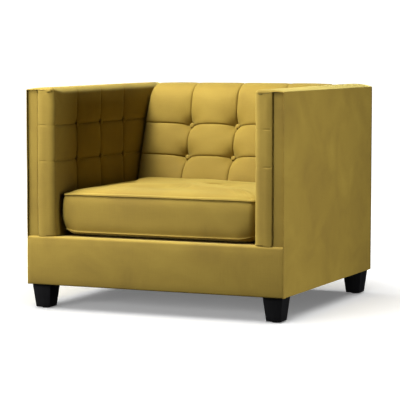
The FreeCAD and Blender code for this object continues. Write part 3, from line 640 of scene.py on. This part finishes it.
def makePanel(name, low, high, face, replaced, puff=None, rounding=None, wave=0.0, seed=0.0,
              lip=None):
    # a padded board in a box: its outer face is domed a little and its edges are rounded
    axis, sign = face
    across = [i for i in range(3) if i != axis]
    rounding = rounding or panelLook["round"]
    puff = panelLook["puff"] if puff is None else puff
    lows, highs = [low[i] for i in across], [high[i] for i in across]
    outer = high[axis] if sign > 0 else low[axis]
    inner = low[axis] if sign > 0 else high[axis]
    thick = abs(outer - inner)
    rounding = min(rounding, thick * 0.95)
    us = samples(lows[0] + rounding, highs[0] - rounding, panelLook["step"])
    vs = samples(lows[1] + rounding, highs[1] - rounding, panelLook["step"])
    bends = [(math.cos(a), math.sin(a)) for a in np.linspace(0, math.pi / 2, 6)]
    uLine = [(lows[0] + rounding - rounding * c, s) for c, s in bends[:-1]] + [(u, 1.0) for u in us]
    uLine += [(highs[0] - rounding + rounding * c, s) for c, s in reversed(bends[:-1])]
    vLine = [(lows[1] + rounding - rounding * c, s) for c, s in bends[:-1]] + [(v, 1.0) for v in vs]
    vLine += [(highs[1] - rounding + rounding * c, s) for c, s in reversed(bends[:-1])]
    points, faces = [], []
    nu, nv = len(uLine), len(vLine)
    for u, su in uLine:
        for v, sv in vLine:
            fall = rounding * (1 - min(su, 1.0)) + rounding * (1 - min(sv, 1.0))
            fall = min(fall, rounding)
            du = min(u - lows[0], highs[0] - u) / panelLook["domeRun"]
            dv = min(v - lows[1], highs[1] - v) / panelLook["domeRun"]
            dome = puff * (1 - math.exp(-max(du, 0))) * (1 - math.exp(-max(dv, 0)))
            ripple = wave * noise.noise(Vector((u * 5 + seed, v * 5, seed)))
            p = [0, 0, 0]
            p[axis] = outer - sign * (fall + puff - dome - ripple)
            p[across[0]], p[across[1]] = u, v
            points.append(p)
    faces += loftFaces(nu, nv, closed=False)
    # skirt down to the inner plane and a flat back
    rim = [i * nv for i in range(nu)] + [(nu - 1) * nv + j for j in range(1, nv)]
    rim += [i * nv + nv - 1 for i in range(nu - 2, -1, -1)] + [j for j in range(nv - 2, 0, -1)]
    start = len(points)
    for r in rim:
        q = list(points[r])
        q[axis] = inner
        # the cloth turns round the front edge of the board, which stands back from it
        if lip and q[1] < low[1] + 0.002:
            q[axis] = outer - sign * (lip + rounding)
        points.append(q)
    n = len(rim)
    faces += [(rim[i], start + i, start + (i + 1) % n, rim[(i + 1) % n]) for i in range(n)]
    faces.append([start + i for i in range(n)])
    # which way the faces turn depends on the axis
    odd = (axis == 1) != (sign < 0)
    return meshPiece(name, points, faces if odd else flipped(faces), velvet, "chair",
                     replaced, angle=60)


sideTop = weltZ - 0.0005
makePanel("outerSideRight", sideLow, (sideHigh[0], rearLow[1], sideTop), (0, 1),
          ("side_cover_right",), wave=panelLook["wave"], seed=3.0, lip=0.0012, rounding=0.0025)
makePanel("outerSideLeft", (-sideHigh[0], sideLow[1], sideLow[2]), (-sideLow[0], rearLow[1], sideTop),
          (0, -1), ("side_cover_left",), wave=panelLook["wave"], seed=8.0, lip=0.0012, rounding=0.0025)
makePanel("outerBack", (rearLow[0] + 0.0005, rearLow[1], rearLow[2]),
          (rearHigh[0] - 0.0005, rearHigh[1], sideTop), (1, 1), ("back_cover",),
          wave=panelLook["wave"], seed=5.0)
# the strips beside the arm pads reach under the lap and close up to the pad and the side
for side, label in ((1, "right"), (-1, "left")):
    low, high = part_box("arm_facing_" + label)
    low, high = Vector(low), Vector(high)
    high.z = armPad["lap"] + 0.003
    low.z -= 0.001
    inner, outer = (low, high) if side > 0 else (high, low)
    inner.x -= side * 0.0005
    outer.x = side * (sideHigh[0] - 0.0043)
    low.y -= 0.0015
    makePanel("armFacing" + label.capitalize(), low, high, (1, -1), ("arm_facing_" + label,),
              puff=0.0004, rounding=0.0015)
print("outer panels made")

# front rail
rail = dict(round=0.009, foot=0.005, proud=0.003, step=0.012, endRound=0.006, wave=0.0016)


def makeFrontRail():
    half = sideHigh[0] - 0.0012
    y0, y1 = railLow[1], railHigh[1]
    z0, z1 = railLow[2], railHigh[2]
    section = []
    for a in np.linspace(0, math.pi / 2, 5):
        section.append((y0 + rail["foot"] * (1 - math.sin(a)), z0 + rail["foot"] * (1 - math.cos(a))))
    for z in samples(z0 + rail["foot"], z1 - rail["round"], rail["step"])[1:-1]:
        bulge = rail["proud"] * math.sin(math.pi * (z - z0) / (z1 - z0)) ** 0.7
        section.append((y0 - bulge, z))
    for a in np.linspace(0, math.pi / 2, 9):
        section.append((y0 + rail["round"] * (1 - math.cos(a)), z1 - rail["round"] * (1 - math.sin(a))))
    section += [(y1, z1 - 0.0005), (y1, z1 - 0.02), (y0 + 0.03, z1 - 0.024),
                (y0 + 0.012, z1 - 0.04), (y0 + 0.012, z0)]
    xs = samples(-half + rail["endRound"], half - rail["endRound"], rail["step"])
    gammas = np.linspace(0, math.pi / 2, 5)[:-1]
    stations = [(-1, g) for g in gammas] + [(x, None) for x in xs] + [(1, g) for g in reversed(gammas)]
    rings = []
    for x, mode in stations:
        ring = []
        for y, z in section:
            face = 1 if y < y0 + 0.02 else 0
            if mode is None:
                wave = rail["wave"] * noise.noise(Vector((x * 3.0, z * 4, 1.5))) * face
                ring.append((x, y + wave, z))
            else:
                inset = rail["endRound"] * (1 - math.sin(mode))
                edge = half - rail["endRound"] * (1 - math.cos(mode))
                ring.append((x * edge, y + inset * face, z))
        rings.append(ring)
    size = len(section)
    faces = loftFaces(len(rings), size)
    faces.append(list(range(size)))
    faces.append([(len(rings) - 1) * size + j for j in reversed(range(size))])
    points = [p for ring in rings for p in ring]
    piece = meshPiece("frontRail", points, flipped(faces), velvet, "chair",
                      ("front_rail_cover", "rail_foam"), angle=50)


makeFrontRail()
print("front rail made")

# seat cushion
cushionLow, cushionHigh = (Vector(c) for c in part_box("cushion_cover"))
seat = dict(corner=0.030, leastCorner=0.006, cornerTurns=8, lowSeam=0.016, highSeam=0.144,
            crown=0.029, crownRise=0.022, bulge=0.0055, seamInset=0.0035, boxingInset=0.0062,
            underInset=0.075, cornerLift=0.010, cornerPull=0.013, cornerDrop=0.003,
            lump=0.0022, ripple=0.0010, step=0.010, seamRadius=0.0015, swellCap=0.006)
sideCounts = [int((cushionHigh[i] - cushionLow[i]) / seat["step"]) for i in (1, 0)]


def cushionRing(inset):
    # points along a rounded rectangle, each with its outward direction
    x0, x1 = cushionLow.x + inset, cushionHigh.x - inset
    y0, y1 = cushionLow.y + inset, cushionHigh.y - inset
    r = max(seat["corner"] - inset * 0.5, seat["leastCorner"])
    ring = []
    turns = seat["cornerTurns"]
    corners = (((x1 - r, y0 + r), -90), ((x1 - r, y1 - r), 0),
               ((x0 + r, y1 - r), 90), ((x0 + r, y0 + r), 180))
    for k, ((cx, cy), startAngle) in enumerate(corners):
        for i in range(turns + 1):
            a = math.radians(startAngle + 90 * i / turns)
            ring.append((cx + r * math.cos(a), cy + r * math.sin(a), math.cos(a), math.sin(a)))
        (nx, ny), nextAngle = corners[(k + 1) % 4]
        a = math.radians(nextAngle)
        start, end = ring[-1], (nx + r * math.cos(a), ny + r * math.sin(a))
        count = sideCounts[k % 2]
        for i in range(1, count):
            f = i / count
            ring.append((start[0] + (end[0] - start[0]) * f, start[1] + (end[1] - start[1]) * f,
                         start[2], start[3]))
    return ring


def makeCushion():
    centre = (cushionLow + cushionHigh) / 2
    halfX, halfY = (cushionHigh.x - cushionLow.x) / 2, (cushionHigh.y - cushionLow.y) / 2
    zLow = cushionLow.z
    zSeam0, zSeam1 = deckZ + seat["lowSeam"], deckZ + seat["highSeam"]

    def cornerness(x, y):
        fx, fy = abs(x - centre.x) / halfX, abs(y - centre.y) / halfY
        return smooth((fx - 0.80) / 0.2) * smooth((fy - 0.76) / 0.24)

    def crownAt(x, y):
        ex = max(0.0, halfX - abs(x - centre.x))
        ey = max(0.0, halfY - abs(y - centre.y))
        near = 1 - math.exp(-ex / seat["crownRise"])
        close = 1 - math.exp(-ey / seat["crownRise"])
        middle = 0.84 + 0.16 * math.cos(math.pi * min(1, abs(x - centre.x) / halfX) / 2)
        return seat["crown"] * near * close * middle

    rings = []
    maxInset = min(halfX, halfY) - 0.004
    # underside, lying on the deck
    for f in (1.0, 0.8, 0.55, 0.3, 0.16):
        rings.append([(x, y, zLow) for x, y, nx, ny in cushionRing(maxInset * f)])
    for a in np.linspace(0, 1, 9)[:-1]:
        inset = seat["seamInset"] + (seat["underInset"] - seat["seamInset"]) * (1 - a)
        ring = []
        for x, y, nx, ny in cushionRing(inset):
            c = cornerness(x, y)
            pull = c * seat["cornerPull"]
            climb = zSeam0 - zLow - 0.001 + seat["cornerLift"] * c
            ring.append((x - nx * pull, y - ny * pull, zLow + climb * a ** 2.2))
        rings.append(ring)

    def seamLine(high):
        line = []
        for x, y, nx, ny in cushionRing(seat["seamInset"]):
            c = cornerness(x, y)
            z = zSeam1 - seat["cornerDrop"] * c if high else zSeam0 + seat["cornerLift"] * c
            pull = c * seat["cornerPull"] * (0.4 if high else 1.0)
            line.append((x - nx * pull, y - ny * pull, z))
        return line

    lowRow = len(rings)
    rings.append(seamLine(False))
    for a in np.linspace(0, 1, 21):
        bow = seat["bulge"] * (1 - (2 * a - 1) ** 4)
        ring = []
        for x, y, nx, ny in cushionRing(seat["boxingInset"]):
            c = cornerness(x, y)
            pull = seat["cornerPull"] * ((1 - a) ** 4 + 0.4 * a ** 4)
            out = bow * (1 - 0.15 * c) - c * pull
            ripple = seat["ripple"] * noise.noise(Vector((x * 6, y * 6, a * 2)))
            low = zSeam0 + seat["cornerLift"] * c + 0.001
            high = zSeam1 - seat["cornerDrop"] * c - 0.001
            ring.append((x + nx * (out + ripple), y + ny * (out + ripple), low + (high - low) * a))
        rings.append(ring)
    highRow = len(rings)
    rings.append(seamLine(True))
    for f in (np.linspace(0, 1, 34) ** 1.9)[1:]:
        inset = seat["seamInset"] + (maxInset - seat["seamInset"]) * f
        ring = []
        for x, y, nx, ny in cushionRing(inset):
            c = cornerness(x, y)
            lump = seat["lump"] * noise.noise(Vector((x * 4.5 + 2, y * 4.5, 0.3)))
            grow = 1 - math.exp(-(inset - seat["seamInset"]) / 0.02)
            z = zSeam1 - seat["cornerDrop"] * c * (1 - grow) + crownAt(x, y) + lump * grow
            pull = c * seat["cornerPull"] * 0.4 * (1 - grow)
            ring.append((x - nx * pull, y - ny * pull, z))
        rings.append(ring)
    size = len(rings[0])
    points = [p for ring in rings for p in ring]
    faces = loftFaces(len(rings), size)
    faces.append(list(reversed(range(size))))
    faces.append([(len(rings) - 1) * size + j for j in range(size)])
    piece = meshPiece("seatCushion", points, faces, velvet, "seat_cushion",
                      ("cushion_cover", "cushion_foam"))
    # the underside and both seams are held, the boxing partly
    sewn = np.zeros((len(rings), size))
    sewn[:lowRow + 2] = 1
    sewn[highRow - 1:highRow + 2] = 1
    sewn[lowRow + 2:highRow - 1] = 0.35
    inflate(piece, sewn.ravel(), seat["swellCap"])
    return rings[lowRow], rings[highRow]


def makeSeam(name, ring):
    # lapped seam: a thin ridge of doubled cloth
    curve = bpy.data.curves.new(name, "CURVE")
    curve.dimensions = "3D"
    line = curve.splines.new("POLY")
    line.points.add(len(ring) - 1)
    for spot, (x, y, z) in zip(line.points, ring):
        spot.co = (x, y, z, 1)
    line.use_cyclic_u = True
    curve.bevel_depth = seat["seamRadius"]
    curve.bevel_resolution = 3
    temp = bpy.data.objects.new(name + "Line", curve)
    mesh = bpy.data.meshes.new_from_object(temp)
    mesh.name = name
    bpy.data.objects.remove(temp)
    mesh.materials.clear()
    mesh.materials.append(velvet)
    mesh.shade_smooth()
    piece = bpy.data.objects.new(name, mesh)
    bpy.context.collection.objects.link(piece)
    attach(piece, "seat_cushion")


lowSeamRing, highSeamRing = makeCushion()
makeSeam("cushionSeamLower", lowSeamRing)
makeSeam("cushionSeamUpper", highSeamRing)
print("seat cushion made")

# legs
leg = dict(foot=0.053, bevel=0.0016)


def makeLeg(label):
    low, high = (Vector(c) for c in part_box("leg_" + label))
    cx, cy = (low.x + high.x) / 2, (low.y + high.y) / 2
    halfTop, halfFoot = (high.x - low.x) / 2, leg["foot"] / 2
    rings = []
    bevel = leg["bevel"]
    steps = [(low.z, halfFoot - bevel), (low.z + bevel * 0.3, halfFoot - bevel * 0.3),
             (low.z + bevel, halfFoot)]
    steps += [(low.z + (high.z - low.z) * f, halfFoot + (halfTop - halfFoot) * f)
              for f in (0.15, 0.4, 0.7, 1.0)]
    for z, half in steps:
        ring = []
        for qx, qy, start in ((1, -1, -90), (1, 1, 0), (-1, 1, 90), (-1, -1, 180)):
            for i in range(4):
                a = math.radians(start + 30 * i)
                ring.append((cx + qx * (half - bevel) + bevel * math.cos(a),
                             cy + qy * (half - bevel) + bevel * math.sin(a), z))
        rings.append(ring)
    size = len(rings[0])
    faces = loftFaces(len(rings), size)
    faces.append(list(reversed(range(size))))
    faces.append([(len(rings) - 1) * size + j for j in range(size)])
    words = label.split("_")
    meshPiece("leg" + "".join(w.capitalize() for w in words), [p for r in rings for p in r], faces,
              lacqueredBeech, "chair", ("leg_" + label,), angle=40)


for label in ("front_left", "front_right", "rear_left", "rear_right"):
    makeLeg(label)
print("legs made")

# finishes on the CAD pieces that stay
finishes = {"base_": planedPine, "arm_front_post": planedPine, "arm_rear_post": planedPine,
            "arm_top_rail": planedPine, "back_top_rail": planedPine, "back_post": planedPine,
            "spring_rear_rail": planedPine, "corner_blocks": planedPine, "frame_dowels": beechDowel,
            "side_board": hardboard, "arm_inner_board": hardboard, "back_board": hardboard,
            "seat_springs": springSteel, "spring_clips": zincSteel, "back_webbing": juteWebbing,
            "tuft_ties": waxedTwine, "leg_bolts": zincSteel, "leg_plates": zincSteel,
            "leg_screws": zincSteel, "leg_glides": glidePlastic, "dust_cover": dustCloth,
            "deck_": deckCloth, "zip_tape": zipTapeCloth, "zip_slider": zipBrass,
            "zip_pull": zipBrass}
for name, node in frame["nodes"].items():
    for start, material in finishes.items():
        if name.startswith(start):
            for slotIndex in range(len(node.material_slots)):
                node.material_slots[slotIndex].material = material
print("finishes set")

# studio
studio = dict(paper="#F4F4F4", world=0.02, floorPower=165, floorSize=5.0, floorHeight=2.8,
              floorGlow=0.20, farGlow=1.05, glowRange=(0.65, 1.5), lowPower=150,
              curve=3.0, wallAt=11.0, wallTop=14.0, turns=72, gamma=0.88)
lamps = dict(
    key=dict(azimuth=-44, elevation=60, distance=2.6, size=(0.9, 0.9), power=150, aim=(0, 0, 0.45)),
    frontFill=dict(azimuth=-32, elevation=20, distance=3.6, size=(1.5, 1.3), power=86,
                   aim=(0, 0, 0.4)),
    lowFill=dict(azimuth=-62, elevation=8, distance=3.6, size=(1.5, 1.3), power=84, aim=(0, 0, 0.4)),
    sideFill=dict(azimuth=86, elevation=4, distance=2.4, size=(1.0, 0.8), power=66,
                  aim=(0.3, -0.3, 0.4)),
    backFill=dict(azimuth=195, elevation=3, distance=3.2, size=(1.6, 0.9), power=85,
                  aim=(0, 0.3, 0.4)))


def areaLight(name, at, aim, size, power):
    data = bpy.data.lights.new(name, "AREA")
    data.energy = power
    data.shape = "RECTANGLE"
    data.size, data.size_y = size
    lamp = bpy.data.objects.new(name, data)
    lamp.location = at
    lamp.rotation_euler = (Vector(aim) - Vector(at)).to_track_quat("-Z", "Y").to_euler()
    bpy.context.collection.objects.link(lamp)
    return lamp


def makePaper(name):
    # white paper: its own glow grows away from the chair, so the far paper stays even and the
    # chair's shadow fades out softly on it
    paper = bpy.data.materials.new(name)
    paper.use_nodes = True
    tree = paper.node_tree
    shader = tree.nodes["Principled BSDF"]
    shader.inputs["Base Color"].default_value = linear(studio["paper"])
    shader.inputs["Roughness"].default_value = 0.9
    shader.inputs["Specular IOR Level"].default_value = 0.1
    shader.inputs["Emission Color"].default_value = (1, 1, 1, 1)
    place = addNode(tree, "ShaderNodeTexCoord").outputs["Object"]
    distance = addNode(tree, "ShaderNodeVectorMath", {0: place}, operation="LENGTH")
    near, far = studio["glowRange"]
    spread = addNode(tree, "ShaderNodeMapRange", {"Value": distance.outputs["Value"],
                                                  "From Min": near, "From Max": far,
                                                  "To Min": studio["floorGlow"],
                                                  "To Max": studio["farGlow"]},
                     interpolation_type="SMOOTHSTEP")
    tree.links.new(spread.outputs["Result"], shader.inputs["Emission Strength"])
    return paper


def makeStudio():
    # white paper that curves up all round; it throws no light back on the chair
    groups = dict(floor=bpy.data.collections.new("floorOnly"),
                  chair=bpy.data.collections.new("chairOnly"))
    flat, bend = studio["wallAt"] - studio["curve"], studio["curve"]
    line = [(0.001, 0.0), (flat, 0.0)]
    line += [(flat + bend * math.sin(a), bend - bend * math.cos(a))
             for a in np.linspace(0.1, math.pi / 2, 14)]
    line.append((studio["wallAt"], studio["wallTop"]))
    turns = [2 * math.pi * k / studio["turns"] for k in range(studio["turns"])]
    mesh = bpy.data.meshes.new("studioPaper")
    mesh.from_pydata([(r * math.cos(a), r * math.sin(a), z) for r, z in line for a in turns], [],
                     flipped(loftFaces(len(line), studio["turns"])) + [tuple(range(studio["turns"]))])
    mesh.materials.append(makePaper("whitePaper"))
    mesh.shade_smooth()
    paper = bpy.data.objects.new("studioPaper", mesh)
    bpy.context.collection.objects.link(paper)
    paper.visible_diffuse = False
    paper.visible_glossy = False
    groups["floor"].objects.link(paper)
    for thing in bpy.data.objects:
        if thing.type == "MESH" and thing != paper:
            groups["chair"].objects.link(thing)
    world = bpy.data.worlds.new("studioWorld")
    world.use_nodes = True
    world.node_tree.nodes["Background"].inputs["Color"].default_value = (1, 1, 1, 1)
    world.node_tree.nodes["Background"].inputs["Strength"].default_value = studio["world"]
    bpy.context.scene.world = world
    for name, lamp in lamps.items():
        az, el = math.radians(lamp["azimuth"]), math.radians(lamp["elevation"])
        away = Vector((math.sin(az) * math.cos(el), -math.cos(az) * math.cos(el), math.sin(el)))
        aim = Vector(lamp["aim"])
        light = areaLight(name + "Light", aim + away * lamp["distance"], aim, lamp["size"],
                          lamp["power"])
        light.light_linking.receiver_collection = groups["chair"]
    over = areaLight("floorLight", (0, -0.6, studio["floorHeight"]), (0, -0.6, 0),
                     (studio["floorSize"], studio["floorSize"]), studio["floorPower"])
    low = areaLight("floorFrontLight", (0, -4.0, 0.9), (0, 0, 0), (4.0, 1.2), studio["lowPower"])
    for light in (over, low):
        light.light_linking.receiver_collection = groups["floor"]
    bpy.context.scene.view_settings.view_transform = "Standard"
    bpy.context.scene.view_settings.look = "None"
    bpy.context.scene.view_settings.gamma = studio["gamma"]


makeStudio()
print("studio made")
